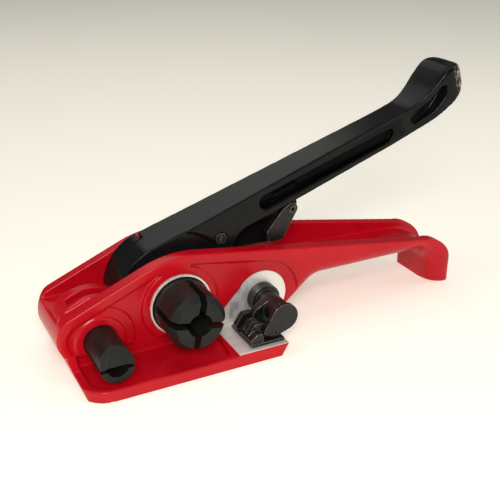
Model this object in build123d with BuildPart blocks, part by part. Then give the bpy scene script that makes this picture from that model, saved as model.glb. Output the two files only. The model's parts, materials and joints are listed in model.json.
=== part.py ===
from build123d import *
import math
import os

# Strapping tensioner, millimetres, +Z up, +X towards the finger hook, +Y from the strap side to the
# rear wall. The origin is on the underside of the foot, directly below the windlass axis, in the
# plane of the recessed front panel.

# ---- driving dimensions -------------------------------------------------------------------------
AXIS_Z = 29.8  # height of the windlass axis
CUTTER_X, CUTTER_Z = -48.6, 18.4  # cutter axis
GRIP_X, GRIP_Z = 53.2, 21.4  # gripper axis
SHOE_PIN_X, SHOE_PIN_Z = 47.4, 12.9  # shoe pin axis
PAWL_X, PAWL_Z = 32.2, 59.6  # drive pawl screw
RELEASE_X, RELEASE_Z = 80.6, 68.8  # roll pin of the release lever
HOLD_X, HOLD_Z = 36.0, 20.0  # holding pawl pin
LEVER_ANGLE = 18.6  # rise of the handle above horizontal, degrees

RIM_Y = -2.8  # raised rim of the front wall
PANEL_Y = -1.0  # recessed front panel
MILLED_Y = -0.3  # bare milled disc
MILLED_R = 17.3
INNER_FRONT = 5.6  # inner face of the front wall
INNER_BACK = 38.3  # inner face of the rear wall
BODY_BACK = 45.0  # outer face of the rear wall
FOOT_FRONT = -36.0  # front edge of the foot
FOOT_LEFT = -68.2
NOSE_FOOT, NOSE_SIDE = (-65.6, 0), (-69.5, 13)  # sloping left side
FLOOR_Z = 3.2  # floor between the walls
TRAY_Z = 4.5  # floor of the foot tray
LIP_Z = 6.8  # lip round the tray
PAD_Z = 8.0  # milled pad under the gripper
PAD_LEFT, PAD_RIGHT = 21.4, 53.4

TOP_R = 58.0  # bend of the walls' top edge above the windlass
TOP_X, TOP_Z = 3.5, 1.4  # centre of the bend
LEFT_FALL = 22.5  # slope of the walls towards the nose, degrees
ARM_FALL = 8.4  # slope of the arm's top edge, degrees
ARM_UNDER = 26.0
HOOK_X = 197.0
HOOK_ROUND = 10.0
CHANNEL_Z = 30.6  # floor of the arm's channel
RIM_W = 6.0
SWEEP_R = 34.4  # room for the lever's head
WINDLASS_BOSS_R = 23.4
CUTTER_BOSS_RADII = (14.6, 20.5)  # two-step boss
BOSS_STEP_Y = -1.9

BUSH_R, BUSH_BORE, BUSH_FRONT = 18.8, 17.7, -3.6
DRUM_R, DRUM_END_R = 16.9, 13.8
DRUM_END_Y = -30.6
DRUM_BORE, STRAP_SLOT = 7.1, 4.1
JOURNAL_R = 17.65
REAR_R = 9.0
RATCHET_R, RATCHET_ROOT, RATCHET_TEETH = 24.4, 21.4, 14
RATCHET_FRONT, RATCHET_BACK = 17.6, 26.6
RUN = 0.05  # running clearance on a radius

LEVER_BACK = 37.0
LEVER_R = 33.2  # head of the lever about the windlass axis
LEVER_UNDER = 15.2  # underside of the beam above the pivot line
PADDLE_R, PADDLE_X = 14.6, 215.2  # rounded end of the paddle, and its centre along the lever
HEAD_SPLIT = 28.4  # the lever's head ends here, the cheek begins behind it
HEAD_FACE = 10.8  # front of the head, set back behind the side cheek
HUB_BORE = REAR_R + RUN
PAWL_SCREW_R, PAWL_HEAD_R, SCREW_HEAD_Y = 2.4, 3.2, 10.4
CHEEK_FRONT, CHEEK_BACK = 28.8, 37.4

SLEEVE_R, SLEEVE_BORE = 9.7, 6.45
SLEEVE_END = -32.0
SLOT_LOW, SLOT_HIGH = 16.0, 18.2  # strap slot of the cutter sleeve

CRANK_R = 6.5  # gripper shaft inside the walls
COLLAR_R, BARREL_R = 9.6, 7.2
PLATE_FRONT, PLATE_BACK = -30.4, -27.6


def side_plane(y):
    """Vertical plane at y whose local axes are X and Z, and which extrudes towards the front."""
    return Plane(origin=(0, y, 0), x_dir=(1, 0, 0), z_dir=(0, -1, 0))


def on_circle(radius, degrees, x=0.0, z=AXIS_Z):
    """Point on a circle about (x, z), counted from +X towards +Z."""
    turn = math.radians(degrees)
    return (x + radius * math.cos(turn), z + radius * math.sin(turn))


def rounded_face(corners):
    """Flat face with the corners given as (x, y, corner radius)."""
    with BuildSketch() as sketch:
        with BuildLine():
            FilletPolyline(*[(x, y) for x, y, _ in corners], radius=[r for _, _, r in corners], close=True)
        make_face()
    return sketch.sketch


def on_lever(along, across, height=AXIS_Z):
    """Point of the lever's own frame, at rest. With height 0 it is a direction."""
    turn = math.radians(LEVER_ANGLE)
    return (
        along * math.cos(turn) - across * math.sin(turn),
        height + along * math.sin(turn) + across * math.cos(turn),
    )


def round_bar(x, z, front, back, radius, bore=0.0):
    """Round bar or tube along Y."""
    with BuildPart() as bar:
        with BuildSketch(side_plane(back)):
            with Locations((x, z)):
                Circle(radius)
                if bore:
                    Circle(bore, mode=Mode.SUBTRACT)
        extrude(amount=back - front)
    return bar


def roll_pin(x, z, front, back, radius, bore, gap):
    """Slotted spring pin along Y."""
    with BuildPart() as pin:
        with BuildSketch(side_plane(back)):
            with Locations((x, z)):
                Circle(radius)
                Circle(bore, mode=Mode.SUBTRACT)
            with Locations((x - radius, z)):
                Rectangle(2 * radius, gap, mode=Mode.SUBTRACT)
        extrude(amount=back - front)
    return pin


def clip_ring(x, z, front, back, radius, bore, mouth):
    """Open retaining ring, its mouth upwards."""
    with BuildPart() as ring:
        with BuildSketch(side_plane(back)):
            with Locations((x, z)):
                Circle(radius)
                Circle(bore, mode=Mode.SUBTRACT)
            with Locations((x, z + radius)):
                Rectangle(mouth, 2 * radius, mode=Mode.SUBTRACT)
            with Locations((x - mouth, z + bore + 1.6), (x + mouth, z + bore + 1.6)):
                Circle(1.9)
        extrude(amount=back - front)
    return ring


def torsion_spring(x, z, front, coil_r, wire_r, turns, leg_angles, leg_length):
    """Closed coil of a torsion spring as one ribbed ring, with two straight tangent legs."""
    pitch = 1.8 * wire_r
    turn_places = [front + wire_r + turn * pitch for turn in range(turns)]
    with BuildPart() as spring:
        with BuildSketch(Plane.XY.offset(z)):
            with Locations(*[(x + coil_r, y) for y in turn_places]):
                Circle(wire_r)
        revolve(axis=Axis((x, 0, z), (0, 1, 0)))
        for angle, y in zip(leg_angles, (turn_places[0], turn_places[-1])):
            start = on_circle(coil_r, angle, x, z)
            heading = math.radians(angle + 90)
            direction = (math.cos(heading), 0, math.sin(heading))
            with BuildSketch(Plane(origin=(start[0], y, start[1]), x_dir=(0, 1, 0), z_dir=direction)):
                Circle(wire_r * 0.98)
            extrude(amount=leg_length)
    return spring


# ---- frame casting ------------------------------------------------------------------------------
left_touch = on_circle(TOP_R, 90 + LEFT_FALL, TOP_X, TOP_Z)
right_touch = on_circle(TOP_R, 90 - ARM_FALL, TOP_X, TOP_Z)
arm_slope = math.tan(math.radians(ARM_FALL))
arm_end_x = 174.0
arm_end = (arm_end_x, right_touch[1] - arm_slope * (arm_end_x - right_touch[0]))

# channel of the arm, running out over the hook
with BuildPart() as arm_channel:
    with BuildSketch(side_plane(INNER_BACK)):
        with BuildLine():
            Line((60, CHANNEL_Z), (170, CHANNEL_Z))
            ThreePointArc((170, CHANNEL_Z), (187.0, 24.0), (HOOK_X - 0.4, 8))
            Polyline((HOOK_X - 0.4, 8), (HOOK_X + 10, 8), (HOOK_X + 10, 90), (60, 90), (60, CHANNEL_Z))
        make_face()
    extrude(amount=INNER_BACK)
    with BuildSketch(Plane.XY):
        add(rounded_face(
            [
                (60, INNER_FRONT, 0), (HOOK_X + 10, 4.4, 0), (HOOK_X + 10, 29.4, 0), (169, 31.8, 60),
                (97, 38.2, 60), (60, INNER_BACK, 0),
            ]
        ))
    extrude(amount=100, mode=Mode.INTERSECT)

with BuildPart() as frame_casting:
    # walls, nose, arm and hook as one silhouette through the whole width
    with BuildSketch(side_plane(BODY_BACK)):
        with BuildLine():
            Line(NOSE_FOOT, NOSE_SIDE)
            ThreePointArc(NOSE_SIDE, (-73.0, 24.0), (-66.6, 34.9))
            Line((-66.6, 34.9), left_touch)
            ThreePointArc(left_touch, on_circle(TOP_R, 97, TOP_X, TOP_Z), right_touch)
            Line(right_touch, arm_end)
            ThreePointArc(arm_end, (190.0, 27.9), (HOOK_X - 0.6, 14.5))
            Polyline((HOOK_X - 0.6, 14.5), (HOOK_X, 0), (182.0, 0), (181.4, 13.5))
            ThreePointArc((181.4, 13.5), (177.6, 22.3), (168.5, ARM_UNDER))
            Line((168.5, ARM_UNDER), (97.5, ARM_UNDER))
            ThreePointArc((97.5, ARM_UNDER), (91.4, 25.0), (86.0, 21.6))
            Polyline((86.0, 21.6), (65.0, 3.4), (61.0, 0), NOSE_FOOT)
        make_face()
    extrude(amount=BODY_BACK - RIM_Y)
    # plan shape: rounded nose, rear wall drawn in along the arm, rounded hook
    with BuildSketch(Plane.XY.offset(-1)):
        add(rounded_face(
            [
                (-74, RIM_Y, 3), (-74, BODY_BACK, 12), (97, 44.4, 90), (169, 37.8, 60),
                (HOOK_X, 35.6, 7), (HOOK_X, RIM_Y, 4.5),
            ]
        ))
    extrude(amount=100, mode=Mode.INTERSECT)
    # rounded inner corner of the hook, fading out under the arm
    hook_corner = [
        edge
        for edge in frame_casting.edges().filter_by_position(Axis.Y, RIM_Y - 0.01, RIM_Y + 0.01)
        if 169 < edge.center().X < 183 and 0.5 < edge.center().Z < ARM_UNDER
    ]
    fillet(hook_corner, radius=HOOK_ROUND)
    # foot under the strap side
    with BuildSketch(Plane.XY):
        add(rounded_face(
            [
                (FOOT_LEFT, RIM_Y + 1, 0), (FOOT_LEFT, FOOT_FRONT, 15), (PAD_RIGHT, FOOT_FRONT, 1.5),
                (PAD_RIGHT, RIM_Y + 1, 0),
            ]
        ))
    extrude(amount=LIP_Z)
    with BuildSketch(Plane.XY.offset(TRAY_Z)):
        add(rounded_face(
            [
                (-62.4, PANEL_Y, 0), (-62.4, FOOT_FRONT + 3.6, 10.5), (PAD_LEFT - 4, FOOT_FRONT + 3.6, 5),
                (PAD_LEFT, PANEL_Y, 0),
            ]
        ))
    extrude(amount=LIP_Z, mode=Mode.SUBTRACT)
    # the lip climbs into the nose, and its outer side leans out as the nose does
    with BuildSketch(Plane.YZ.offset(FOOT_LEFT - 2)):
        with BuildLine():
            Polyline(
                (RIM_Y + 1, 2), (-10, 2), (-10, LIP_Z), (RIM_Y - 1, 12), (RIM_Y + 1, 14), (RIM_Y + 1, 2),
            )
        make_face()
    extrude(amount=7.0)
    with BuildSketch(side_plane(RIM_Y + 1)):
        with BuildLine():
            Polyline((-65.3, -1), NOSE_FOOT, NOSE_SIDE, (-85, 13), (-85, -1), (-65.3, -1))
        make_face()
    extrude(amount=RIM_Y - FOOT_FRONT + 2, mode=Mode.SUBTRACT)
    # pad, with its sloping right end
    with BuildSketch(side_plane(PANEL_Y)):
        with BuildLine():
            Polyline(
                (PAD_LEFT - 2.5, 0), (PAD_LEFT - 2.5, TRAY_Z), (PAD_LEFT, PAD_Z), (PAD_RIGHT, PAD_Z),
                (PAD_RIGHT - 4.6, 0), (PAD_LEFT - 2.5, 0),
            )
        make_face()
    extrude(amount=PANEL_Y - FOOT_FRONT)
    with BuildSketch(side_plane(RIM_Y)):
        with BuildLine():
            Polyline(
                (PAD_RIGHT - 4.6, -1), (PAD_RIGHT - 4.6, 0), (PAD_RIGHT, PAD_Z), (PAD_RIGHT + 3, PAD_Z),
                (PAD_RIGHT + 3, -1), (PAD_RIGHT - 4.6, -1),
            )
        make_face()
    extrude(amount=RIM_Y - FOOT_FRONT + 1, mode=Mode.SUBTRACT)

    # recessed front panel inside the raised rim
    inset_r = TOP_R - RIM_W
    inset_left = on_circle(inset_r, 90 + LEFT_FALL, TOP_X, TOP_Z)
    inset_right = on_circle(inset_r, 90 - ARM_FALL, TOP_X, TOP_Z)
    border_r = 24.0
    border_top = on_circle(border_r, 90 - ARM_FALL, GRIP_X, GRIP_Z)
    border_right = on_circle(border_r, -28, GRIP_X, GRIP_Z)
    with BuildSketch(Plane.XY, mode=Mode.PRIVATE) as panel_outline:
        with BuildLine():
            Line((-62.4, TRAY_Z), (-65.2, 14))
            ThreePointArc((-65.2, 14), (-67.2, 23.0), (-62.2, 30.4))
            Line((-62.2, 30.4), inset_left)
            ThreePointArc(inset_left, on_circle(inset_r, 97, TOP_X, TOP_Z), inset_right)
            Line(inset_right, border_top)
            ThreePointArc(border_top, on_circle(border_r, 30, GRIP_X, GRIP_Z), border_right)
            Polyline(border_right, (66, TRAY_Z), (-62.4, TRAY_Z))
        make_face()
        with Locations((0, AXIS_Z)):
            Circle(WINDLASS_BOSS_R, mode=Mode.SUBTRACT)
        with Locations(((PAD_LEFT + 70) / 2, PAD_Z / 2)):
            Rectangle(70 - PAD_LEFT, PAD_Z, mode=Mode.SUBTRACT)
    with BuildSketch(side_plane(PANEL_Y)):
        add(panel_outline.sketch)
        with Locations((CUTTER_X, CUTTER_Z)):
            Circle(CUTTER_BOSS_RADII[1], mode=Mode.SUBTRACT)
    extrude(amount=PANEL_Y - RIM_Y, mode=Mode.SUBTRACT)
    with BuildSketch(side_plane(BOSS_STEP_Y)):
        add(panel_outline.sketch)
        with Locations((CUTTER_X, CUTTER_Z)):
            Circle(CUTTER_BOSS_RADII[1], mode=Mode.INTERSECT)
            Circle(CUTTER_BOSS_RADII[0], mode=Mode.SUBTRACT)
    extrude(amount=BOSS_STEP_Y - RIM_Y, mode=Mode.SUBTRACT)
    # milled disc round the gripper, running down to the pad
    with BuildSketch(side_plane(MILLED_Y)):
        with Locations((GRIP_X, GRIP_Z)):
            Circle(MILLED_R)
        with BuildLine():
            Polyline(
                on_circle(MILLED_R, 150, GRIP_X, GRIP_Z), (PAD_LEFT + 1.5, PAD_Z + 6), (PAD_LEFT, PAD_Z),
                (GRIP_X + 14, PAD_Z), on_circle(MILLED_R, -20, GRIP_X, GRIP_Z),
                on_circle(MILLED_R, 150, GRIP_X, GRIP_Z),
            )
        make_face()
        with Locations((GRIP_X, PAD_Z - 20)):
            Rectangle(90, 40, mode=Mode.SUBTRACT)
    extrude(amount=4, mode=Mode.SUBTRACT)
    # room for the mechanism between the walls
    with BuildSketch(side_plane(INNER_BACK)):
        with BuildLine():
            Polyline(
                (-34, FLOOR_Z), (-34, 31), (-90, 31), (-90, 90), (90, 90), (90, CHANNEL_Z), (88, -1),
                (62, -1), (62, FLOOR_Z), (-34, FLOOR_Z),
            )
        make_face()
    extrude(amount=INNER_BACK - INNER_FRONT, mode=Mode.SUBTRACT)
    add(arm_channel.part, mode=Mode.SUBTRACT)

    # round hump of the nose
    with BuildSketch(side_plane(22.4)):
        with Locations((CUTTER_X, CUTTER_Z)):
            Circle(24.6)
        with Locations((-50.5, CUTTER_Z + 20)):
            Rectangle(41, 40, mode=Mode.INTERSECT)
    extrude(amount=22.4 - INNER_FRONT)
    # sweep of the lever's head
    with BuildSketch(side_plane(INNER_BACK)):
        with Locations((0, AXIS_Z)):
            Circle(SWEEP_R)
        with Locations((0, FLOOR_Z + 50)):
            Rectangle(100, 100, mode=Mode.INTERSECT)
    extrude(amount=INNER_BACK - INNER_FRONT, mode=Mode.SUBTRACT)
    # slot of the cutter arm
    with BuildSketch(side_plane(15.8)):
        with Locations((CUTTER_X, CUTTER_Z)):
            Circle(20.2)
        with Locations((CUTTER_X, CUTTER_Z + 25)):
            Rectangle(27, 50)
        with Locations((CUTTER_X, FLOOR_Z + 40)):
            Rectangle(60, 80, mode=Mode.INTERSECT)
    extrude(amount=15.8 - 9.0, mode=Mode.SUBTRACT)

    # bores
    with BuildSketch(side_plane(BODY_BACK)):
        with Locations((0, AXIS_Z)):
            Circle(13.0)
        with Locations((CUTTER_X, CUTTER_Z)):
            Circle(SLEEVE_BORE + 0.05)
        with Locations((GRIP_X, GRIP_Z)):
            Circle(8.5)
    extrude(amount=BODY_BACK - 22.0, mode=Mode.SUBTRACT)
    with BuildSketch(side_plane(22.0)):
        with Locations((0, AXIS_Z)):
            Circle(BUSH_R)
        with Locations((CUTTER_X, CUTTER_Z)):
            Circle(SLEEVE_BORE + 0.05)
        with Locations((GRIP_X, GRIP_Z)):
            Circle(8.5)
    extrude(amount=25, mode=Mode.SUBTRACT)
    with BuildSketch(side_plane(8.0)):
        with Locations((CUTTER_X, CUTTER_Z)):
            Circle(SLEEVE_R)
    extrude(amount=11, mode=Mode.SUBTRACT)
    # holding pawl pin and grub screw holes
    with BuildSketch(side_plane(BODY_BACK - 2)):
        with Locations((HOLD_X, HOLD_Z)):
            Circle(2.5)
    extrude(amount=BODY_BACK - 2 - 2.0, mode=Mode.SUBTRACT)
    with BuildSketch(Plane.XY.offset(-1)):
        with Locations((CUTTER_X, 3.2)):
            Circle(2.5)
    extrude(amount=12, mode=Mode.SUBTRACT)
    # seat of the cutter spring
    with BuildSketch(side_plane(BODY_BACK)):
        with Locations((CUTTER_X, CUTTER_Z)):
            Circle(10.8)
    extrude(amount=BODY_BACK - 37.0, mode=Mode.SUBTRACT)
    # seat of the jaw insert and its screws
    with Locations((41.2, -19.5, PAD_Z - 1.5)):
        Box(19.0, 24.0, 3.0, mode=Mode.SUBTRACT)
    with BuildSketch(Plane.XY.offset(-1)):
        with Locations((41.2, -26.5), (41.2, -12.5)):
            Circle(1.6)
    extrude(amount=8, mode=Mode.SUBTRACT)
    with BuildSketch(Plane.XY.offset(-1)):
        with Locations((41.2, -26.5), (41.2, -12.5)):
            Circle(3.0)
    extrude(amount=3.0, mode=Mode.SUBTRACT)

# ---- windlass -----------------------------------------------------------------------------------
with BuildPart() as windlass_front_bush:
    with BuildSketch(side_plane(INNER_FRONT)):
        with Locations((0, AXIS_Z)):
            Circle(BUSH_R)
            Circle(BUSH_BORE, mode=Mode.SUBTRACT)
    extrude(amount=INNER_FRONT - BUSH_FRONT)

windlass_rear_bush = round_bar(0, AXIS_Z, INNER_BACK, BODY_BACK, 13.0, REAR_R + RUN)

with BuildPart() as windlass_shaft:
    with BuildSketch(Plane.XY.offset(AXIS_Z)):
        with BuildLine():
            Polyline(
                (0, DRUM_END_Y), (DRUM_END_R, DRUM_END_Y), (DRUM_R, DRUM_END_Y + 4.2), (DRUM_R, 1.2),
                (JOURNAL_R, 1.2),
                (JOURNAL_R, 8.0), (REAR_R, 8.0), (REAR_R, 48.0), (0, 48.0), (0, DRUM_END_Y),
            )
        make_face()
    revolve(axis=Axis((0, 0, AXIS_Z), (0, 1, 0)))
    # centre hole and the four strap slots
    with BuildSketch(side_plane(-6.0)):
        with Locations((0, AXIS_Z)):
            Circle(DRUM_BORE)
            with PolarLocations(0, 4, start_angle=-11):
                with Locations((10, 0)):
                    Rectangle(20, STRAP_SLOT)
    extrude(amount=30, mode=Mode.SUBTRACT)
    # seat of the ratchet key and groove of the retaining ring
    with Locations((0, (RATCHET_FRONT + RATCHET_BACK) / 2, AXIS_Z + REAR_R)):
        Box(5.0, RATCHET_BACK - RATCHET_FRONT, 4.0, mode=Mode.SUBTRACT)
    with BuildSketch(side_plane(47.3)):
        with Locations((0, AXIS_Z)):
            Circle(REAR_R + 1)
            Circle(REAR_R - 0.9, mode=Mode.SUBTRACT)
    extrude(amount=1.2, mode=Mode.SUBTRACT)

with BuildPart() as ratchet_wheel:
    with BuildSketch(side_plane(RATCHET_BACK)):
        with Locations((0, AXIS_Z)):
            Circle(RATCHET_ROOT)
        for tooth in range(RATCHET_TEETH):
            angle = tooth * 360 / RATCHET_TEETH
            with BuildLine():
                Polyline(
                    on_circle(RATCHET_ROOT - 0.6, angle - 1), on_circle(RATCHET_R, angle),
                    on_circle(RATCHET_R, angle + 2.5), on_circle(RATCHET_ROOT - 0.6, angle + 22),
                    on_circle(RATCHET_ROOT - 0.6, angle - 1),
                )
            make_face()
        with Locations((0, AXIS_Z)):
            Circle(REAR_R + 0.02, mode=Mode.SUBTRACT)
        with Locations((0, AXIS_Z + REAR_R)):
            Rectangle(5.0, 4.0, mode=Mode.SUBTRACT)
    extrude(amount=RATCHET_BACK - RATCHET_FRONT)

with BuildPart() as ratchet_key:
    with Locations((0, (RATCHET_FRONT + RATCHET_BACK) / 2, AXIS_Z + REAR_R)):
        Box(4.96, RATCHET_BACK - RATCHET_FRONT, 3.96)

rear_washer = round_bar(0, AXIS_Z, BODY_BACK + 0.05, 46.1, 14.5, REAR_R + 0.02)
windlass_retaining_ring = clip_ring(0, AXIS_Z, 46.15, 47.25, 11.6, REAR_R - 0.88, 4.0)

# ---- lever --------------------------------------------------------------------------------------
HEAD_LEFT_END = 172  # the head's rim ends here, degrees about the axis
HEAD_HUB_R = 15.5
WING_FRONT, WING_BACK = 28.6, 34.6

CHEEK_SCREWS = [on_circle(29.8, 122), on_circle(29.8, 152)]
CHEEK_SCREW_R = 1.6
POCKET_FRONT, POCKET_BACK = 17.0, 29.4  # bottoms of the side pockets
# corners of the pockets: along and across the lever, and corner radius
LONG_POCKET = [(69.5, 19.6, 4.4), (166, 18.8, 3.6), (175, 26.6, 3), (69.5, 29.0, 4.4)]
SHORT_POCKET = [
    (184.0, 20.8, 3), (200, 24.4, 8), (209.5, 31.0, 5), (213.0, 38.0, 2.2), (208.0, 38.4, 3),
    (198.0, 32.6, 10), (184, 29.0, 3),
]

with BuildPart() as handle_lever:
    with BuildSketch(side_plane(LEVER_BACK + 4)):
        with BuildLine():
            Line(on_lever(0, LEVER_R), on_lever(180, LEVER_R))
            Spline(
                on_lever(180, LEVER_R), on_lever(193, 35.0), on_lever(203, 39.8), on_lever(211, 44.8),
                on_lever(217.5, 47.4), tangents=(on_lever(1, 0, 0), on_lever(1, 0.1, 0)),
            )
            ThreePointArc(on_lever(217.5, 47.4), on_lever(227.2, 44.0), on_lever(PADDLE_X + PADDLE_R, 37.4))
            Spline(
                on_lever(PADDLE_X + PADDLE_R, 37.4), on_lever(227.0, 31.6), on_lever(220.0, 27.0),
                on_lever(211.0, 23.4), on_lever(199.0, 19.4), on_lever(186.0, 16.9), on_lever(173.0, 15.6),
                on_lever(160, LEVER_UNDER),
            )
            Line(on_lever(160, LEVER_UNDER), on_lever(78, LEVER_UNDER))
            Line(on_lever(78, LEVER_UNDER), on_lever(60, LEVER_UNDER + 0.8))
            Spline(
                on_lever(60, LEVER_UNDER + 0.8), on_lever(54, 15.4), on_lever(48.5, 12.8),
                on_lever(43, 8.0),
                on_lever(36, 0),
            )
            Line(on_lever(36, 0), on_circle(HEAD_HUB_R, -20))
            ThreePointArc(
                on_circle(HEAD_HUB_R, -20), on_circle(HEAD_HUB_R, -90), on_circle(HEAD_HUB_R, -160),
            )
            Line(on_circle(HEAD_HUB_R, -160), on_circle(LEVER_R, HEAD_LEFT_END))
            ThreePointArc(on_circle(LEVER_R, HEAD_LEFT_END), on_circle(LEVER_R, 140), on_lever(0, LEVER_R))
        make_face()
    extrude(amount=LEVER_BACK + 4 - 5)
    # plan shape in the lever's own frame: tapering beam, paddle end
    lever_top = Plane(
        origin=(0, 23.0, AXIS_Z),
        x_dir=(math.cos(math.radians(LEVER_ANGLE)), 0, math.sin(math.radians(LEVER_ANGLE))),
        z_dir=(-math.sin(math.radians(LEVER_ANGLE)), 0, math.cos(math.radians(LEVER_ANGLE))),
    )
    with BuildSketch(lever_top.offset(-60)):
        with BuildLine():
            Polyline((-60, 14), (10, 14), (40, 12.9), (158, 9.3))
            Spline((158, 9.3), (186, 10.2), (PADDLE_X, PADDLE_R), tangents=((1, 0), (1, 0)))
            ThreePointArc((PADDLE_X, PADDLE_R), (PADDLE_X + PADDLE_R, 0), (PADDLE_X, -PADDLE_R))
            Spline((PADDLE_X, -PADDLE_R), (186, -10.2), (158, -9.3), tangents=((-1, 0), (-1, 0)))
            Polyline((158, -9.3), (40, -12.9), (10, -14), (-60, -14), (-60, 14))
        make_face()
    extrude(amount=140, mode=Mode.INTERSECT)
    # the head's rear part is the separate cheek, which fits a notch of the lever
    with BuildSketch(side_plane(LEVER_BACK + 5)):
        with BuildLine():
            Polyline(
                on_circle(60, 108), on_circle(18.5, 108), (4, AXIS_Z + 17.5), on_lever(24, 12),
                on_lever(40, -6), (40, -20), (-60, -20), (-60, 60), on_circle(60, 108),
            )
        make_face()
    extrude(amount=LEVER_BACK + 5 - HEAD_SPLIT, mode=Mode.SUBTRACT)
    # front of the head set back behind the raised side cheek
    with BuildSketch(side_plane(HEAD_FACE)):
        with Locations((0, AXIS_Z)):
            Circle(39.5)
    extrude(amount=8, mode=Mode.SUBTRACT)
    # pocket of the ratchet wheel and the drive pawl
    with BuildSketch(side_plane(HEAD_SPLIT)):
        with Locations((0, AXIS_Z)):
            Circle(26.4)
        with BuildLine():
            Polyline(
                on_circle(26, 70), on_lever(34, 24), on_lever(48, 24), on_lever(60, 12),
                on_lever(50, -10), on_circle(26, -20), on_circle(26, 70),
            )
        make_face()
    extrude(amount=HEAD_SPLIT - 17.2, mode=Mode.SUBTRACT)
    # hollow underside of the beam
    with BuildSketch(lever_top.offset(-20)):
        add(rounded_face([(52, 4.0, 3), (142, 4.0, 3), (142, -4.0, 3), (52, -4.0, 3)]))
    extrude(amount=20 + LEVER_UNDER + 7, mode=Mode.SUBTRACT)
    # long side pocket, then a short one in the paddle, on both sides
    for plane_y, depth in ((POCKET_FRONT, POCKET_FRONT), (LEVER_BACK + 4, LEVER_BACK + 4 - POCKET_BACK)):
        with BuildSketch(side_plane(plane_y)):
            add(rounded_face([(*on_lever(u, v), r) for u, v, r in LONG_POCKET]))
            add(rounded_face([(*on_lever(u, v), r) for u, v, r in SHORT_POCKET]))
        extrude(amount=depth, mode=Mode.SUBTRACT)
    # hub bore, pawl screw hole and the lug of the roll pin
    with BuildSketch(side_plane(26.0)):
        with BuildLine():
            Polyline(
                on_lever(80, LEVER_UNDER + 9), on_lever(82.2, 9.5), on_lever(88, 6.3),
                on_lever(94.5, 9.0), on_lever(98, LEVER_UNDER + 9), on_lever(80, LEVER_UNDER + 9),
            )
        make_face()
    extrude(amount=26.0 - 16.2)
    # rear cheek of the lever, which hangs lower than the front one
    with BuildSketch(side_plane(WING_BACK)):
        add(rounded_face(
            [
                (*on_lever(50, 18), 0), (41.6, 50.0, 2), (44.0, 42.6, 3), (76.0, 41.0, 3), (80.6, 46.0, 4),
                (*on_lever(92, 18), 0),
            ]
        ))
    extrude(amount=WING_BACK - WING_FRONT)
    with BuildSketch(side_plane(HEAD_SPLIT)):
        with Locations((0, AXIS_Z)):
            Circle(HUB_BORE)
    extrude(amount=30, mode=Mode.SUBTRACT)
    with BuildSketch(side_plane(LEVER_BACK + 4)):
        with Locations((PAWL_X, PAWL_Z)):
            Circle(PAWL_SCREW_R + RUN)
    extrude(amount=40, mode=Mode.SUBTRACT)
    with BuildSketch(side_plane(HEAD_SPLIT)):
        with Locations(*CHEEK_SCREWS):
            Circle(CHEEK_SCREW_R + 0.02)
    extrude(amount=7.0, mode=Mode.SUBTRACT)
    with BuildSketch(side_plane(12.6)):
        with Locations((PAWL_X, PAWL_Z)):
            Circle(PAWL_HEAD_R + 0.2)
    extrude(amount=20, mode=Mode.SUBTRACT)
    with BuildSketch(side_plane(40)):
        with Locations((RELEASE_X, RELEASE_Z)):
            Circle(2.3)
    extrude(amount=40, mode=Mode.SUBTRACT)

with BuildPart() as rear_cheek:
    with BuildSketch(side_plane(CHEEK_BACK)):
        with BuildLine():
            Line(on_circle(19.5, 112.5), on_circle(LEVER_R, 110.5))
            ThreePointArc(
                on_circle(LEVER_R, 110.5), on_circle(LEVER_R, 140), on_circle(LEVER_R, HEAD_LEFT_END),
            )
            Line(on_circle(LEVER_R, HEAD_LEFT_END), on_circle(HEAD_HUB_R, 190))
            Line(on_circle(HEAD_HUB_R, 190), on_circle(HEAD_HUB_R, 90))
            Line(on_circle(HEAD_HUB_R, 90), on_circle(19.5, 112.5))
        make_face()
        with Locations((0, AXIS_Z)):
            Circle(HEAD_HUB_R)
            Circle(HUB_BORE, mode=Mode.SUBTRACT)
    extrude(amount=CHEEK_BACK - CHEEK_FRONT)
    with BuildSketch(side_plane(CHEEK_BACK)):
        with Locations(*CHEEK_SCREWS):
            Circle(CHEEK_SCREW_R + 0.1)
    extrude(amount=CHEEK_BACK - CHEEK_FRONT, mode=Mode.SUBTRACT)
    with BuildSketch(side_plane(CHEEK_BACK)):
        with Locations(*CHEEK_SCREWS):
            Circle(3.0)
    extrude(amount=2.4, mode=Mode.SUBTRACT)

with BuildPart() as cheek_screws:
    with BuildSketch(side_plane(CHEEK_BACK - 0.2)):
        with Locations(*CHEEK_SCREWS):
            Circle(2.8)
            RegularPolygon(1.4, 6, mode=Mode.SUBTRACT)
    extrude(amount=1.2)
    with BuildSketch(side_plane(CHEEK_BACK - 1.4)):
        with Locations(*CHEEK_SCREWS):
            Circle(2.8)
    extrude(amount=1.0)
    with BuildSketch(side_plane(CHEEK_BACK - 2.4)):
        with Locations(*CHEEK_SCREWS):
            Circle(CHEEK_SCREW_R)
    extrude(amount=13.0)

with BuildPart() as pawl_pivot_screw:
    with BuildSketch(side_plane(12.5)):
        with Locations((PAWL_X, PAWL_Z)):
            Circle(PAWL_HEAD_R)
    extrude(amount=12.5 - SCREW_HEAD_Y)
    with BuildSketch(side_plane(35.0)):
        with Locations((PAWL_X, PAWL_Z)):
            Circle(PAWL_SCREW_R)
    extrude(amount=35.0 - 12.5)
    with BuildSketch(side_plane(SCREW_HEAD_Y + 1.1)):
        with Locations((PAWL_X, PAWL_Z)):
            Rectangle(0.9, 10, rotation=-12)
    extrude(amount=4, mode=Mode.SUBTRACT)

release_roll_pin = roll_pin(RELEASE_X, RELEASE_Z, 10.6, 27.0, 2.25, 1.2, 0.7)

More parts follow.
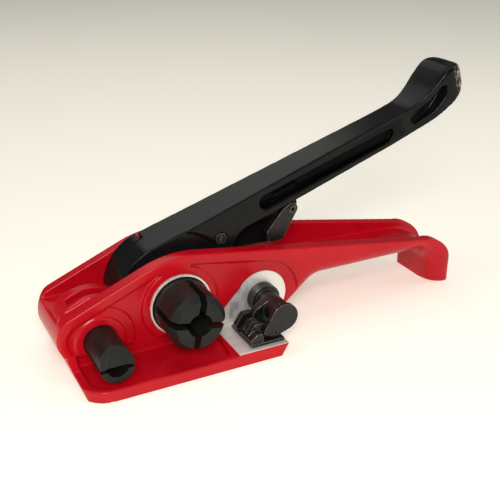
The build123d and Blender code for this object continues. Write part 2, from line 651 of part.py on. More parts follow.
PAWL_FRONT, PAWL_BACK = 18.2, 24.2
TIP_R = RATCHET_R + 0.4
with BuildPart() as drive_pawl:
    with BuildSketch(side_plane(PAWL_BACK)):
        with BuildLine():
            Polyline(
                (PAWL_X - 4.7, PAWL_Z), on_circle(TIP_R + 2.6, 24), on_circle(TIP_R, 14),
                on_circle(TIP_R, 8), on_circle(TIP_R + 5.0, 12), (PAWL_X + 4.7, PAWL_Z),
                (PAWL_X - 4.7, PAWL_Z),
            )
        make_face()
        with Locations((PAWL_X, PAWL_Z)):
            Circle(4.8)
            Circle(PAWL_SCREW_R + RUN, mode=Mode.SUBTRACT)
    extrude(amount=PAWL_BACK - PAWL_FRONT)

drive_pawl_spring = torsion_spring(PAWL_X, PAWL_Z, 24.6, 4.2, 0.6, 2, (200, 330), 5.0)

with BuildPart() as release_lever:
    with BuildSketch(side_plane(15.4)):
        with Locations((RELEASE_X, RELEASE_Z)):
            Circle(3.7)
        with Locations((75.6, 68.5), (65.2, 56.2), (66.2, 51.2), (73.0, 51.4)):
            Circle(1.6)
        make_hull()
        with Locations((RELEASE_X, RELEASE_Z)):
            Circle(2.3, mode=Mode.SUBTRACT)
    extrude(amount=15.4 - 11.6)

# ---- holding pawl -------------------------------------------------------------------------------
with BuildPart() as holding_pawl:
    with BuildSketch(side_plane(PAWL_BACK)):
        with BuildLine():
            Polyline(
                (HOLD_X, HOLD_Z + 4.3), on_circle(TIP_R + 0.2, -25), on_circle(TIP_R, -35),
                on_circle(TIP_R + 3.5, -38), (HOLD_X, HOLD_Z - 4.3), (HOLD_X, HOLD_Z + 4.3),
            )
        make_face()
        with Locations((HOLD_X, HOLD_Z)):
            Circle(4.4)
            Circle(2.5, mode=Mode.SUBTRACT)
    extrude(amount=PAWL_BACK - PAWL_FRONT)
holding_pawl_pin = round_bar(HOLD_X, HOLD_Z, 2.1, BODY_BACK - 2.2, 2.45)
holding_pawl_spring = torsion_spring(HOLD_X, HOLD_Z, 25.0, 3.9, 0.6, 3, (180, 300), 6.0)

# ---- gripper ------------------------------------------------------------------------------------
gripper_front_bush = round_bar(GRIP_X, GRIP_Z, MILLED_Y, INNER_FRONT, 8.5, CRANK_R + RUN)
gripper_rear_bush = round_bar(GRIP_X, GRIP_Z, INNER_BACK, BODY_BACK, 8.5, CRANK_R + RUN)

SHOE_PIN_R = 1.3
with BuildPart() as gripper_crank:
    with BuildSketch(Plane.XY.offset(GRIP_Z)):
        with BuildLine():
            Polyline(
                (GRIP_X, PLATE_BACK), (GRIP_X + 7.9, PLATE_BACK), (GRIP_X + 7.9, PLATE_BACK + 1.6),
                (GRIP_X + BARREL_R, PLATE_BACK + 2.4), (GRIP_X + BARREL_R, -6.9),
                (GRIP_X + COLLAR_R - 0.6, -6.9), (GRIP_X + COLLAR_R, -6.3), (GRIP_X + COLLAR_R, -1.0),
                (GRIP_X + CRANK_R, -1.0), (GRIP_X + CRANK_R, 47.2), (GRIP_X, 47.2), (GRIP_X, PLATE_BACK),
            )
        make_face()
    revolve(axis=Axis((GRIP_X, 0, GRIP_Z), (0, 1, 0)))
    # teardrop end plate
    with BuildSketch(side_plane(PLATE_BACK)):
        with Locations((GRIP_X, GRIP_Z)):
            Circle(8.5)
        with Locations((42.3, 14.6), (SHOE_PIN_X, SHOE_PIN_Z)):
            Circle(2.4)
        make_hull()
    extrude(amount=PLATE_BACK - PLATE_FRONT)
    # middle web
    with BuildSketch(side_plane(-12.6)):
        with Locations((GRIP_X, GRIP_Z)):
            Circle(BARREL_R)
        with Locations((44.6, 18.4)):
            Circle(5.8)
        with Locations((SHOE_PIN_X, SHOE_PIN_Z)):
            Circle(2.4)
        make_hull()
    extrude(amount=5.0)
    with BuildSketch(side_plane(-10)):
        with Locations((SHOE_PIN_X, SHOE_PIN_Z)):
            Circle(SHOE_PIN_R)
    extrude(amount=30, mode=Mode.SUBTRACT)
    # hole of the arm's roll pin and groove of the retaining ring
    with BuildSketch(Plane(origin=(GRIP_X - 15, 14.0, GRIP_Z), x_dir=(0, 1, 0), z_dir=(1, 0, 0))):
        Circle(1.5)
    extrude(amount=30, mode=Mode.SUBTRACT)
    with BuildSketch(side_plane(46.5)):
        with Locations((GRIP_X, GRIP_Z)):
            Circle(CRANK_R + 1)
            Circle(CRANK_R - 0.8, mode=Mode.SUBTRACT)
    extrude(amount=1.2, mode=Mode.SUBTRACT)

ARM_FRONT, ARM_BACK = 11.0, 17.0
with BuildPart() as gripper_arm:
    with BuildSketch(side_plane(ARM_BACK)):
        with Locations((GRIP_X, GRIP_Z)):
            Circle(9.6)
        with Locations((77.0, 33.6)):
            Circle(3.2)
        make_hull()
        with Locations((GRIP_X, GRIP_Z)):
            Circle(CRANK_R + 0.02, mode=Mode.SUBTRACT)
    extrude(amount=ARM_BACK - ARM_FRONT)
    with BuildSketch(Plane(origin=(GRIP_X - 15, 14.0, GRIP_Z), x_dir=(0, 1, 0), z_dir=(1, 0, 0))):
        Circle(1.5)
    extrude(amount=24.5, mode=Mode.SUBTRACT)

with BuildPart() as gripper_arm_pin:
    with BuildSketch(Plane(origin=(GRIP_X - 9.2, 14.0, GRIP_Z), x_dir=(0, 1, 0), z_dir=(1, 0, 0))):
        Circle(1.48)
        Circle(0.8, mode=Mode.SUBTRACT)
    extrude(amount=18.0)

gripper_spring = torsion_spring(GRIP_X, GRIP_Z, 20.0, 8.4, 0.9, 5, (190, 280), 9.0)
gripper_retaining_ring = clip_ring(GRIP_X, GRIP_Z, 45.35, 46.45, 8.6, CRANK_R - 0.78, 3.0)
shoe_pin = round_bar(SHOE_PIN_X, SHOE_PIN_Z, PLATE_FRONT + 0.5, -8.8, SHOE_PIN_R - 0.03)

SHOE_LEFT, SHOE_RIGHT = 30.5, 51.6
SHOE_LOW, SHOE_BASE = 8.3, 10.1
with BuildPart() as gripper_shoe:
    with Locations(((SHOE_LEFT + SHOE_RIGHT) / 2, -19.5, (SHOE_LOW + SHOE_BASE) / 2)):
        Box(SHOE_RIGHT - SHOE_LEFT, 27.0, SHOE_BASE - SHOE_LOW)
    # two lugs astride the crank's middle web
    for back, depth in ((-8.4, 3.7), (-18.0, 9.2)):
        with BuildSketch(side_plane(back)):
            add(
                rounded_face(
                    [
                        (SHOE_LEFT, SHOE_LOW + 0.2, 0), (SHOE_LEFT, 12.4, 0.5), (35.2, 19.2, 1.2),
                        (40.6, 19.2, 1),
                        (44.4, 16.4, 1), (49.2, 12.8, 1), (50.8, SHOE_BASE, 0), (50.8, SHOE_LOW + 0.2, 0),
                    ]
                )
            )
            with Locations((SHOE_PIN_X, SHOE_PIN_Z)):
                Circle(SHOE_PIN_R + 0.03, mode=Mode.SUBTRACT)
        extrude(amount=depth)
    # toe in front of the end plate and ribs between the fins
    with BuildSketch(side_plane(PLATE_BACK + 0.4)):
        add(
            rounded_face(
                [
                    (SHOE_LEFT, SHOE_LOW + 0.2, 0), (SHOE_LEFT, 12.6, 0.5), (34.8, 15.6, 1),
                    (37.6, 15.6, 1), (38.6, SHOE_BASE, 0), (38.6, SHOE_LOW + 0.2, 0),
                ]
            )
        )
    extrude(amount=5.0)
    for y in (-20.4, -24.0):
        with Locations((SHOE_LEFT + 3.0, y, 20.4)):
            Box(10.0, 1.5, 14.0, mode=Mode.SUBTRACT)

# ---- cutter -------------------------------------------------------------------------------------
slot_middle = (SLOT_LOW + SLOT_HIGH) / 2
bevel_turn = 31.0  # the beveled upper half of the sleeve's end leans back by this angle
bevel_plane = Plane(
    origin=(CUTTER_X, SLEEVE_END, SLOT_HIGH),
    x_dir=(1, 0, 0),
    z_dir=(0, -math.cos(math.radians(bevel_turn)), math.sin(math.radians(bevel_turn))),
)
with BuildPart() as cutter_sleeve:
    with BuildSketch(side_plane(7.9)):
        with Locations((CUTTER_X, CUTTER_Z)):
            Circle(SLEEVE_R)
            Circle(SLEEVE_BORE, mode=Mode.SUBTRACT)
    extrude(amount=7.9 - SLEEVE_END)
    with BuildSketch(side_plane(-3.4)):
        with Locations((CUTTER_X, slot_middle)):
            Rectangle(30, SLOT_HIGH - SLOT_LOW)
    extrude(amount=40, mode=Mode.SUBTRACT)
    with BuildSketch(bevel_plane):
        with Locations((0, 20)):
            Rectangle(40, 40)
    extrude(amount=20, mode=Mode.SUBTRACT)

with BuildPart() as cutter_rod:
    with BuildSketch(side_plane(47.2)):
        with Locations((CUTTER_X, CUTTER_Z)):
            Circle(SLEEVE_BORE - RUN)
    extrude(amount=47.2 - SLEEVE_END - 0.15)
    with BuildSketch(side_plane(-3.6)):
        with Locations((CUTTER_X, SLOT_HIGH + 0.4 - 20)):
            Rectangle(30, 40)
    extrude(amount=40, mode=Mode.SUBTRACT)
    with BuildSketch(bevel_plane.offset(-0.15)):
        with Locations((0, 20)):
            Rectangle(40, 42)
    extrude(amount=20, mode=Mode.SUBTRACT)
    with BuildSketch(Plane(origin=(CUTTER_X - 15, 12.7, CUTTER_Z), x_dir=(0, 1, 0), z_dir=(1, 0, 0))):
        Circle(1.5)
    extrude(amount=30, mode=Mode.SUBTRACT)
    with BuildSketch(side_plane(46.5)):
        with Locations((CUTTER_X, CUTTER_Z)):
            Circle(SLEEVE_BORE + 1)
            Circle(SLEEVE_BORE - 0.85, mode=Mode.SUBTRACT)
    extrude(amount=1.2, mode=Mode.SUBTRACT)

with BuildPart() as cutter_arm:
    with BuildSketch(side_plane(14.9)):
        with Locations((CUTTER_X, CUTTER_Z)):
            Circle(9.8)
        with Locations((CUTTER_X + 1.5, CUTTER_Z + 15.2)):
            Circle(3.0)
        make_hull()
        with Locations((CUTTER_X, CUTTER_Z)):
            Circle(SLEEVE_BORE - 0.03, mode=Mode.SUBTRACT)
    extrude(amount=14.9 - 10.5)
    with BuildSketch(Plane(origin=(CUTTER_X - 15, 12.7, CUTTER_Z), x_dir=(0, 1, 0), z_dir=(1, 0, 0))):
        Circle(1.5)
    extrude(amount=30, mode=Mode.SUBTRACT)

with BuildPart() as cutter_arm_pin:
    with BuildSketch(Plane(origin=(CUTTER_X - 9.4, 12.7, CUTTER_Z), x_dir=(0, 1, 0), z_dir=(1, 0, 0))):
        Circle(1.48)
        Circle(0.8, mode=Mode.SUBTRACT)
    extrude(amount=18.8)

cutter_spring = torsion_spring(CUTTER_X, CUTTER_Z, 37.6, 8.4, 0.8, 4, (100, 280), 4.0)
cutter_retaining_ring = clip_ring(CUTTER_X, CUTTER_Z, 45.35, 46.45, 8.6, SLEEVE_BORE - 0.83, 3.0)

with BuildPart() as sleeve_grub_screw:
    with BuildSketch(Plane.XY.offset(1.0)):
        with Locations((CUTTER_X, 3.2)):
            Circle(2.45)
    extrude(amount=CUTTER_Z - SLEEVE_R - 1.1)
    with BuildSketch(Plane.XY.offset(0.5)):
        with Locations((CUTTER_X, 3.2)):
            RegularPolygon(1.4, 6)
    extrude(amount=3.0, mode=Mode.SUBTRACT)

# ---- jaw under the shoe -------------------------------------------------------------------------
JAW_SCREWS = [(41.2, -26.5), (41.2, -12.5)]
with BuildPart() as jaw_insert:
    with Locations((41.2, -19.5, PAD_Z - 1.55)):
        Box(18.8, 23.8, 2.86)
    with BuildSketch(Plane.XY.offset(PAD_Z - 4)):
        with Locations(*JAW_SCREWS):
            Circle(1.55)
    extrude(amount=2.9, mode=Mode.SUBTRACT)

with BuildPart() as jaw_screws:
    with BuildSketch(Plane.XY.offset(0.4)):
        with Locations(*JAW_SCREWS):
            Circle(2.9)
    extrude(amount=1.5)
    with BuildSketch(Plane.XY.offset(1.9)):
        with Locations(*JAW_SCREWS):
            Circle(1.5)
    extrude(amount=PAD_Z - 3.2)
    with BuildSketch(Plane.XY.offset(0)):
        with Locations(*JAW_SCREWS):
            RegularPolygon(1.3, 6)
    extrude(amount=1.3, mode=Mode.SUBTRACT)

pieces = {
    "frame_casting": frame_casting,
    "windlass_front_bush": windlass_front_bush,
    "windlass_rear_bush": windlass_rear_bush,
    "windlass_shaft": windlass_shaft,
    "ratchet_wheel": ratchet_wheel,
    "ratchet_key": ratchet_key,
    "rear_washer": rear_washer,
    "windlass_retaining_ring": windlass_retaining_ring,
    "handle_lever": handle_lever,
    "rear_cheek": rear_cheek,
    "cheek_screws": cheek_screws,
    "pawl_pivot_screw": pawl_pivot_screw,
    "release_roll_pin": release_roll_pin,
    "drive_pawl": drive_pawl,
    "drive_pawl_spring": drive_pawl_spring,
    "release_lever": release_lever,
    "holding_pawl": holding_pawl,
    "holding_pawl_pin": holding_pawl_pin,
    "holding_pawl_spring": holding_pawl_spring,
    "gripper_front_bush": gripper_front_bush,
    "gripper_rear_bush": gripper_rear_bush,
    "gripper_crank": gripper_crank,
    "gripper_arm": gripper_arm,
    "gripper_arm_pin": gripper_arm_pin,
    "gripper_spring": gripper_spring,
    "gripper_retaining_ring": gripper_retaining_ring,
    "shoe_pin": shoe_pin,
    "gripper_shoe": gripper_shoe,
    "cutter_sleeve": cutter_sleeve,
    "cutter_rod": cutter_rod,
    "cutter_arm": cutter_arm,
    "cutter_arm_pin": cutter_arm_pin,
    "cutter_spring": cutter_spring,
    "cutter_retaining_ring": cutter_retaining_ring,
    "sleeve_grub_screw": sleeve_grub_screw,
    "jaw_insert": jaw_insert,
    "jaw_screws": jaw_screws,
}
os.makedirs("parts", exist_ok=True)
for name, piece in pieces.items():
    piece.part.label = name
    export_step(piece.part, f"parts/{name}.step")
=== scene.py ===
"""Looks of the strapping tensioner: cast skins, finishes, light, floor and camera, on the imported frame."""
import json
import math

import bmesh
import bpy
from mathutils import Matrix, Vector


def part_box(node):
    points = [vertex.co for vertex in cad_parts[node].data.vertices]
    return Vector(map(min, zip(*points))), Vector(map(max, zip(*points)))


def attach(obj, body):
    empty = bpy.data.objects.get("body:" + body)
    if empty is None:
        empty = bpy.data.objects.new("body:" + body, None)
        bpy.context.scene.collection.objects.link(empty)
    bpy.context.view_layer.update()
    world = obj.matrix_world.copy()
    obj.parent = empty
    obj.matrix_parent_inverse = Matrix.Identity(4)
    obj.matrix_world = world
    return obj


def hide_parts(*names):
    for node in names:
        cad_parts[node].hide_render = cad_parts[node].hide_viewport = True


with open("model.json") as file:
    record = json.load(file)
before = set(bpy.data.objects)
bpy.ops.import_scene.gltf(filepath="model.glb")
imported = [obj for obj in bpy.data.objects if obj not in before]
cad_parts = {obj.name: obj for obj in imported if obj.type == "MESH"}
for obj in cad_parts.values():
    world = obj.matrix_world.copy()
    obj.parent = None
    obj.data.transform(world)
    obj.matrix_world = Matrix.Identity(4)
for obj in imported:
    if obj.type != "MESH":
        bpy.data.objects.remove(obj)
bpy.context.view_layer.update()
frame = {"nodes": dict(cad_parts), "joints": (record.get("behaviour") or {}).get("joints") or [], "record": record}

# ---- places and sizes, metres, worked out from the frame --------------------------------------------
MM = 0.001
JOINTS = {joint["name"]: joint for joint in frame["joints"]}
WINDLASS = Vector(JOINTS["windlass_spin"]["pos_m"])
GRIPPER = Vector(JOINTS["gripper_turn"]["pos_m"])
CASTING_LOW = Vector(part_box("frame_casting")[0])
SHOE_LOW = Vector(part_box("gripper_shoe")[0])
LEVER_LOW, LEVER_HIGH = (Vector(corner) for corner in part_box("handle_lever"))
BUSH_LOW = Vector(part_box("gripper_front_bush")[0])
LEVER_RISE = math.radians(18.6)

# bare metal of the casting: the milled disc round the gripper and the pad under the shoe
PAD_TOP = SHOE_LOW.z - 0.3 * MM
PAD_LEFT, PAD_RIGHT = 21.4 * MM, 54.5 * MM
DISC_R = 17.35 * MM
DISC_Y = BUSH_LOW.y

# stretches of the lever, along it from the windlass axis, and up from the line through that axis
LONG_POCKET = (64 * MM, 178 * MM)
POCKET_HEIGHT = (18.2 * MM, 30.2 * MM)
POCKET_DEPTH = (LEVER_LOW.y + 5.4 * MM, LEVER_LOW.y + 12 * MM)
RIB_BETWEEN_POCKETS = (177 * MM, 187 * MM)
TIP_START, TIP_FULL = 218 * MM, 223 * MM
FRONT_HALF = (15 * MM, 21 * MM)  # chips fade out from the first to the second, counted to the rear


# ---- node helpers -----------------------------------------------------------------------------------
class Finish:
    """A material with one Principled shader, and short ways of adding the nodes that feed it."""

    def __init__(self, name):
        self.material = bpy.data.materials.new(name)
        self.material.use_nodes = True
        self.tree = self.material.node_tree
        self.tree.nodes.clear()
        out = self.tree.nodes.new("ShaderNodeOutputMaterial")
        self.shader = self.tree.nodes.new("ShaderNodeBsdfPrincipled")
        self.tree.links.new(self.shader.outputs["BSDF"], out.inputs["Surface"])
        self.place = self.tree.nodes.new("ShaderNodeTexCoord").outputs["Object"]

    def put(self, target, value):
        if isinstance(value, bpy.types.NodeSocket):
            self.tree.links.new(value, target)
        elif isinstance(value, tuple) and len(target.default_value) == 4:
            target.default_value = (*value, 1.0)
        else:
            target.default_value = value

    def set(self, **values):
        """Shader inputs by name, with _ for a space."""
        for name, value in values.items():
            self.put(self.shader.inputs[name.replace("_", " ")], value)

    def split(self, vector):
        node = self.tree.nodes.new("ShaderNodeSeparateXYZ")
        self.put(node.inputs[0], vector)
        return node.outputs[0], node.outputs[1], node.outputs[2]

    def join(self, x, y, z):
        node = self.tree.nodes.new("ShaderNodeCombineXYZ")
        for socket, value in zip(node.inputs, (x, y, z)):
            self.put(socket, value)
        return node.outputs[0]

    def math(self, operation, *values):
        node = self.tree.nodes.new("ShaderNodeMath")
        node.operation = operation
        for socket, value in zip(node.inputs, values):
            self.put(socket, value)
        return node.outputs[0]

    def times(self, *factors):
        """Product of two or more masks."""
        product = factors[0]
        for factor in factors[1:]:
            product = self.math("MULTIPLY", product, factor)
        return product

    def length(self, a, b):
        """Square root of the sum of two squares."""
        return self.math("SQRT", self.math("ADD", self.math("POWER", a, 2.0), self.math("POWER", b, 2.0)))

    def vector(self, operation, a, b, output="Vector"):
        node = self.tree.nodes.new("ShaderNodeVectorMath")
        node.operation = operation
        self.put(node.inputs[0], a)
        self.put(node.inputs[1], b)
        return node.outputs[output]

    def noise(self, scale, detail=4.0, rough=0.5, stretch=None, place=None):
        """Noise of `scale` cells to the metre, stretched along an axis by a factor under 1."""
        where = place if place is not None else self.place
        if stretch:
            where = self.vector("MULTIPLY", where, stretch)
        node = self.tree.nodes.new("ShaderNodeTexNoise")
        self.put(node.inputs["Vector"], where)
        self.put(node.inputs["Scale"], scale)
        self.put(node.inputs["Detail"], detail)
        self.put(node.inputs["Roughness"], rough)
        return node.outputs["Fac"]

    def ramp(self, value, low, high, start=0.0, end=1.0):
        node = self.tree.nodes.new("ShaderNodeMapRange")
        for name, number in (
            ("Value", value), ("From Min", low), ("From Max", high), ("To Min", start), ("To Max", end),
        ):
            self.put(node.inputs[name], number)
        return node.outputs[0]

    def between(self, value, low, high, soft):
        """1 between low and high, falling to 0 over `soft`."""
        above_low = self.ramp(value, low - soft, low + soft)
        below_high = self.ramp(value, high - soft, high + soft, 1.0, 0.0)
        return self.times(above_low, below_high)

    def mix(self, factor, a, b):
        node = self.tree.nodes.new("ShaderNodeMix")
        node.data_type = "RGBA"
        self.put(node.inputs["Factor"], factor)
        self.put(node.inputs[6], a)
        self.put(node.inputs[7], b)
        return node.outputs[2]

    def blend(self, factor, a, b):
        node = self.tree.nodes.new("ShaderNodeMix")
        node.data_type = "FLOAT"
        self.put(node.inputs["Factor"], factor)
        self.put(node.inputs[2], a)
        self.put(node.inputs[3], b)
        return node.outputs[0]

    def bump(self, height, distance, strength=1.0, below=None):
        node = self.tree.nodes.new("ShaderNodeBump")
        self.put(node.inputs["Strength"], strength)
        self.put(node.inputs["Distance"], distance)
        self.put(node.inputs["Height"], height)
        if below is not None:
            self.put(node.inputs["Normal"], below)
        return node.outputs[0]

    def round_edge(self, radius):
        node = self.tree.nodes.new("ShaderNodeBevel")
        node.samples = 6
        self.put(node.inputs["Radius"], radius)
        return node.outputs[0]

    def edge(self, radius, low=0.02, high=0.14):
        """1 on convex and concave edges, 0 on open faces."""
        normal = self.tree.nodes.new("ShaderNodeNewGeometry").outputs["Normal"]
        alike = self.vector("DOT_PRODUCT", self.round_edge(radius), normal, "Value")
        return self.ramp(alike, 1 - low, 1 - high)


# ---- finishes ---------------------------------------------------------------------------------------
def red_enamel():
    """Glossy enamel over a sand casting, with the milled disc and pad left bare."""
    f = Finish("red_enamel")
    x, y, z = f.split(f.place)
    reach = f.length(f.math("SUBTRACT", x, GRIPPER.x), f.math("SUBTRACT", z, GRIPPER.z))
    soft = 0.06 * MM
    within_pad = f.between(x, PAD_LEFT - 0.15 * MM, PAD_RIGHT, 0.15 * MM)
    round_part = f.ramp(reach, DISC_R - soft, DISC_R + soft, 1.0, 0.0)
    left_part = f.times(
        f.between(x, PAD_LEFT - 2 * MM, GRIPPER.x, soft),
        f.between(z, PAD_TOP - 0.2 * MM, GRIPPER.z + 9 * MM, soft),
    )
    disc = f.times(
        f.math("MAXIMUM", round_part, left_part),
        f.between(y, DISC_Y - 0.2 * MM, DISC_Y + 0.5 * MM, 0.03 * MM),
    )
    pad = f.times(
        f.between(z, PAD_TOP - 0.22 * MM, PAD_TOP + 0.4 * MM, 0.03 * MM),
        within_pad,
        f.ramp(y, -0.2 * MM, -0.3 * MM),
    )
    bare = f.math("MAXIMUM", disc, pad)

    cloud = f.noise(38, 5, 0.6)
    grime = f.noise(420, 6, 0.7)
    paint = f.mix(f.ramp(cloud, 0.3, 0.7), (0.40, 0.002, 0.008), (0.50, 0.003, 0.011))
    rubbed = f.times(f.edge(0.9 * MM, 0.05, 0.35), f.ramp(grime, 0.40, 0.66))
    paint = f.mix(f.times(rubbed, 0.4), paint, (0.70, 0.05, 0.05))
    turning = f.noise(2600, 2, 0.5, place=f.join(reach, 0.0, 0.0))
    lines = f.noise(900, 3, 0.6, stretch=(0.03, 1.0, 1.0))
    cut = f.blend(disc, lines, turning)
    steel = f.mix(f.ramp(cut, 0.25, 0.75), (0.72, 0.71, 0.67), (0.93, 0.92, 0.88))
    # painted shadow of the collar: darker grey streaks over the disc, fading in to the left of the gripper
    collar_shadow_streaks = f.times(
        f.ramp(f.noise(190, 4, 0.6, stretch=(1.0, 1.0, 0.35)), 0.47, 0.62),
        f.ramp(x, GRIPPER.x - 14 * MM, GRIPPER.x - 2 * MM, 1.0, 0.0),
    )
    steel = f.mix(f.times(collar_shadow_streaks, disc, 0.7), steel, (0.34, 0.35, 0.35))
    f.set(
        Base_Color=f.mix(bare, paint, steel),
        Metallic=f.times(bare, 0.62),
        Roughness=f.blend(bare, f.ramp(grime, 0.2, 0.8, 0.19, 0.30), f.ramp(cut, 0.2, 0.8, 0.34, 0.50)),
        Specular_IOR_Level=0.26,
    )
    cast = f.bump(f.noise(160, 3, 0.5), 0.10 * MM, 0.5)
    peel = f.bump(f.noise(1500, 2, 0.5), 0.015 * MM, 0.6, cast)
    f.set(Normal=f.bump(f.times(cut, bare), 0.02 * MM, 0.7, peel))
    return f.material


def black_enamel():
    """Semi-gloss black of the handle, with painted shade in the long pocket, chipped through at the tip and one
    rib.
    """
    f = Finish("black_enamel")
    along_axis = (math.cos(LEVER_RISE), 0.0, math.sin(LEVER_RISE))
    up_axis = (-math.sin(LEVER_RISE), 0.0, math.cos(LEVER_RISE))
    from_axis = f.vector("SUBTRACT", f.place, tuple(WINDLASS))
    along = f.vector("DOT_PRODUCT", from_axis, along_axis, "Value")
    up = f.vector("DOT_PRODUCT", from_axis, up_axis, "Value")
    cloud = f.noise(60, 5, 0.6)
    grain = f.noise(1100, 4, 0.65)
    ragged = f.noise(330, 5, 0.7)
    _, across, height = f.split(f.place)
    worn = f.edge(0.55 * MM, 0.04, 0.30)
    near_front = f.ramp(across, *FRONT_HALF, 1.0, 0.0)
    crest = f.between(height, LEVER_HIGH.z - 16 * MM, LEVER_HIGH.z - 2 * MM, 2 * MM)
    tip = f.times(f.ramp(along, TIP_START, TIP_FULL), near_front, crest)
    rib = f.times(f.between(along, *RIB_BETWEEN_POCKETS, 3 * MM), near_front)
    knocks = f.math(
        "MAXIMUM",
        f.times(tip, f.ramp(ragged, 0.51, 0.55)),
        f.times(rib, worn, f.ramp(ragged, 0.52, 0.56)),
    )
    chips = f.times(knocks, f.ramp(grain, 0.35, 0.45))
    rubbed = f.times(worn, f.ramp(ragged, 0.40, 0.70))
    black = f.mix(f.ramp(cloud, 0.3, 0.7), (0.0035, 0.004, 0.0045), (0.007, 0.007, 0.007))
    black = f.mix(f.times(rubbed, 0.6), black, (0.11, 0.11, 0.10))
    # painted shade: the long pocket is darkened to near black and given a weaker reflection
    pocket_painted_shade = f.times(
        f.between(across, *POCKET_DEPTH, 1.2 * MM),
        f.between(up, *POCKET_HEIGHT, 0.4 * MM),
        f.between(along, *LONG_POCKET, 0.5 * MM),
    )
    black = f.mix(f.times(pocket_painted_shade, 0.9), black, (0.0008, 0.0008, 0.001))
    f.set(
        Base_Color=f.mix(chips, black, (0.60, 0.55, 0.40)),
        Metallic=f.times(chips, 0.4),
        Roughness=f.ramp(grain, 0.25, 0.75, 0.15, 0.26),
        Specular_IOR_Level=f.blend(pocket_painted_shade, 0.16, 0.05),
    )
    skin = f.bump(f.noise(140, 3, 0.5), 0.08 * MM, 0.4)
    f.set(Normal=f.bump(grain, 0.012 * MM, 0.3, skin))
    return f.material


def black_oxide(name, dark, light, rough, wear, shine=0.4):
    """Blackened steel with an oily, slightly uneven surface and edges worn pale."""
    f = Finish(name)
    cloud = f.noise(130, 5, 0.65)
    grain = f.noise(1400, 4, 0.7)
    scuffs = f.noise(520, 6, 0.75)
    worn = f.times(f.edge(0.45 * MM, 0.03, 0.16), f.ramp(scuffs, 0.38, 0.56))
    body = f.mix(f.ramp(cloud, 0.3, 0.7), dark, light)
    f.set(
        Base_Color=f.mix(f.times(worn, wear), body, (0.62, 0.60, 0.54)),
        Metallic=f.ramp(worn, 0.0, 1.0, 0.15, 0.85),
        Roughness=f.ramp(grain, 0.2, 0.8, rough - 0.08, rough + 0.1),
        Specular_IOR_Level=shine,
    )
    f.set(Normal=f.bump(grain, 0.02 * MM, 0.4, f.round_edge(0.22 * MM)))
    return f.material


def turned_metal(name, low, high, rough, centre, metallic=1.0):
    """Bright turned metal, its fine tool marks round an axis along Y."""
    f = Finish(name)
    x, _, z = f.split(f.vector("SUBTRACT", f.place, tuple(centre)))
    reach = f.length(x, z)
    marks = f.noise(3200, 2, 0.5, place=f.join(reach, 0.0, 0.0))
    stain = f.noise(240, 5, 0.6)
    f.set(
        Base_Color=f.mix(f.ramp(stain, 0.3, 0.7), low, high),
        Metallic=metallic,
        Roughness=f.ramp(stain, 0.25, 0.75, rough - 0.06, rough + 0.08),
    )
    f.set(Normal=f.bump(marks, 0.006 * MM, 0.4, f.round_edge(0.15 * MM)))
    return f.material


def floor_finish():
    f = Finish("studio_floor")
    f.set(
        Base_Color=f.mix(f.ramp(f.noise(2.0, 3, 0.5), 0.3, 0.7), (0.84, 0.81, 0.71), (0.87, 0.84, 0.74)),
        Roughness=0.75,
        Emission_Color=(1.0, 0.965, 0.86),
        Emission_Strength=0.3,
    )
    return f.material


RED = red_enamel()
BLACK = black_enamel()
OXIDE = black_oxide("black_oxide", (0.005, 0.0055, 0.0045), (0.011, 0.012, 0.010), 0.44, 0.10, 0.28)
WORN_OXIDE = black_oxide("worn_black_oxide", (0.004, 0.004, 0.0045), (0.011, 0.011, 0.011), 0.34, 0.85, 0.42)
STEEL = turned_metal("turned_steel", (0.62, 0.59, 0.53), (0.84, 0.81, 0.74), 0.24, WINDLASS)
RING = turned_metal("rubbed_ring", (0.74, 0.69, 0.60), (0.90, 0.86, 0.78), 0.42, WINDLASS, 0.45)
BRONZE = turned_metal("bearing_bronze", (0.42, 0.25, 0.11), (0.60, 0.40, 0.20), 0.36, WINDLASS)
SPRING = turned_metal("spring_wire", (0.30, 0.30, 0.30), (0.48, 0.47, 0.45), 0.30, WINDLASS)
BY_SLOT = {
    "red_paint": RED, "black_paint": BLACK, "black_oxide": OXIDE, "bright_steel": STEEL, "bronze": BRONZE,
    "spring_steel": SPRING,
}
BY_NODE = {
    "gripper_crank": WORN_OXIDE, "gripper_shoe": WORN_OXIDE, "release_lever": WORN_OXIDE,
    "pawl_pivot_screw": WORN_OXIDE, "release_roll_pin": WORN_OXIDE, "windlass_front_bush": RING,
}
for subpart in frame["record"]["subparts"]:
    node = frame["nodes"][subpart["node"]]
    node.data.materials.clear()
    node.data.materials.append(BY_NODE.get(subpart["node"], BY_SLOT[subpart["material_slot"]]))


# ---- cast skins -------------------------------------------------------------------------------------
SOFT_ROUNDS = 160  # smoothing rounds where a skin is far rounder
WELD = 0.005 * MM


def apply_modifiers(piece):
    """The piece's mesh becomes what its modifiers make of it."""
    shaped = bpy.data.meshes.new_from_object(piece.evaluated_get(bpy.context.evaluated_depsgraph_get()))
    piece.modifiers.clear()
    piece.data = shaped


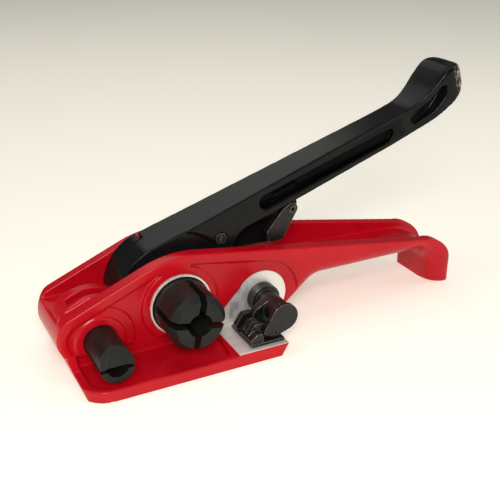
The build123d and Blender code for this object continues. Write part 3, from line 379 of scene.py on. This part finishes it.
def cast_skin(name, node_name, body, finish, voxel, rounds, keep, soft_place):
    """Copy of a CAD node with the soft corners of a casting: voxel remesh, smoothing, then fewer faces.

    `soft_place` is a point and two distances: corners are far rounder nearer to it than the first distance,
    and as sharp as elsewhere beyond the second."""
    mesh = frame["nodes"][node_name].data.copy()
    welded = bmesh.new()
    welded.from_mesh(mesh)
    bmesh.ops.remove_doubles(welded, verts=welded.verts, dist=WELD)
    welded.to_mesh(mesh)
    welded.free()
    skin = bpy.data.objects.new(name, mesh)
    bpy.context.collection.objects.link(skin)
    remesh = skin.modifiers.new("remesh", "REMESH")
    remesh.mode = "VOXEL"
    remesh.voxel_size = voxel
    point, near, far = soft_place
    apply_modifiers(skin)
    group = skin.vertex_groups.new(name="soft")
    for vertex in skin.data.vertices:
        away = (vertex.co - point).length
        group.add([vertex.index], min(1.0, max(0.0, (far - away) / (far - near))), "REPLACE")
    softer = skin.modifiers.new("softer", "SMOOTH")
    softer.factor = 0.5
    softer.iterations = SOFT_ROUNDS
    softer.vertex_group = "soft"
    smooth = skin.modifiers.new("smooth", "SMOOTH")
    smooth.factor = 0.5
    smooth.iterations = rounds
    fewer = skin.modifiers.new("fewer", "DECIMATE")
    fewer.ratio = keep
    apply_modifiers(skin)
    skin.data.name = name
    skin.data.materials.clear()
    skin.data.materials.append(finish)
    skin.data.shade_smooth()
    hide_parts(node_name)
    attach(skin, body)
    return skin


HOOK_CORNER = Vector((181 * MM, CASTING_LOW.y + 32 * MM, 7 * MM))
cast_skin(
    "frame_skin", "frame_casting", "frame", RED, 0.5 * MM, 4, 0.4,
    soft_place=(HOOK_CORNER, 8 * MM, 17 * MM),
)
PADDLE_TIP = Vector((LEVER_HIGH.x, (LEVER_LOW.y + LEVER_HIGH.y) / 2, LEVER_HIGH.z))
cast_skin(
    "handle_skin", "handle_lever", "handle", BLACK, 0.45 * MM, 9, 0.5,
    soft_place=(PADDLE_TIP, 14 * MM, 30 * MM),
)

# ---- camera -----------------------------------------------------------------------------------------
AZIMUTH, ELEVATION = -27.0, 25.0
CAMERA_PLACE = (-0.16225, -0.40854, 0.26717)
camera_data = bpy.data.cameras.new("camera")
camera_data.sensor_width = 36.0
camera_data.lens = 62.06
camera_data.clip_start = 0.01
camera_data.clip_end = 20.0
camera = bpy.data.objects.new("camera", camera_data)
camera.location = CAMERA_PLACE
camera.rotation_euler = (math.radians(90 - ELEVATION), 0, math.radians(AZIMUTH))
bpy.context.collection.objects.link(camera)
bpy.context.scene.camera = camera

# ---- floor and light --------------------------------------------------------------------------------
FLOOR_HALF = 4.0
floor_mesh = bpy.data.meshes.new("floor")
floor_mesh.from_pydata(
    [(-FLOOR_HALF, -FLOOR_HALF, 0), (FLOOR_HALF, -FLOOR_HALF, 0), (FLOOR_HALF, FLOOR_HALF, 0),
     (-FLOOR_HALF, FLOOR_HALF, 0)],
    [], [(0, 1, 2, 3)],
)
floor_mesh.materials.append(floor_finish())
floor = bpy.data.objects.new("floor", floor_mesh)
bpy.context.collection.objects.link(floor)

CENTRE = Vector((0.05, 0.0, 0.05))


def soft_box(name, direction, distance, size, power, color):
    """Rectangular light seen from the object's centre in the given direction."""
    data = bpy.data.lights.new(name, "AREA")
    data.shape = "RECTANGLE"
    data.size, data.size_y = size
    data.energy = power
    data.color = color
    light = bpy.data.objects.new(name, data)
    away = Vector(direction).normalized()
    light.location = CENTRE + away * distance
    light.rotation_euler = away.to_track_quat("Z", "Y").to_euler()
    bpy.context.collection.objects.link(light)


# name, direction, distance, size, watts, colour
for light in (
    ("key", (-0.45, -1.0, 0.75), 1.1, (0.45, 0.45), 11, (1.0, 0.97, 0.94)),
    ("top", (0.1, 0.25, 1.0), 1.0, (1.0, 0.6), 2.6, (1.0, 0.98, 0.95)),
    ("right", (1.0, -0.3, 0.5), 1.2, (0.4, 0.8), 3, (0.96, 0.98, 1.0)),
    ("back", (0.05, 0.85, 0.62), 1.2, (0.6, 0.35), 0.7, (1.0, 0.99, 0.96)),
    ("left", (-1.0, 0.1, 0.45), 1.2, (0.4, 0.8), 3, (1.0, 1.0, 1.0)),
):
    soft_box(*light)

world = bpy.data.worlds.new("world")
world.use_nodes = True
background = world.node_tree.nodes["Background"]
background.inputs["Color"].default_value = (1.0, 0.985, 0.95, 1)
background.inputs["Strength"].default_value = 0.10
bpy.context.scene.world = world
bpy.context.scene.view_settings.view_transform = "Standard"
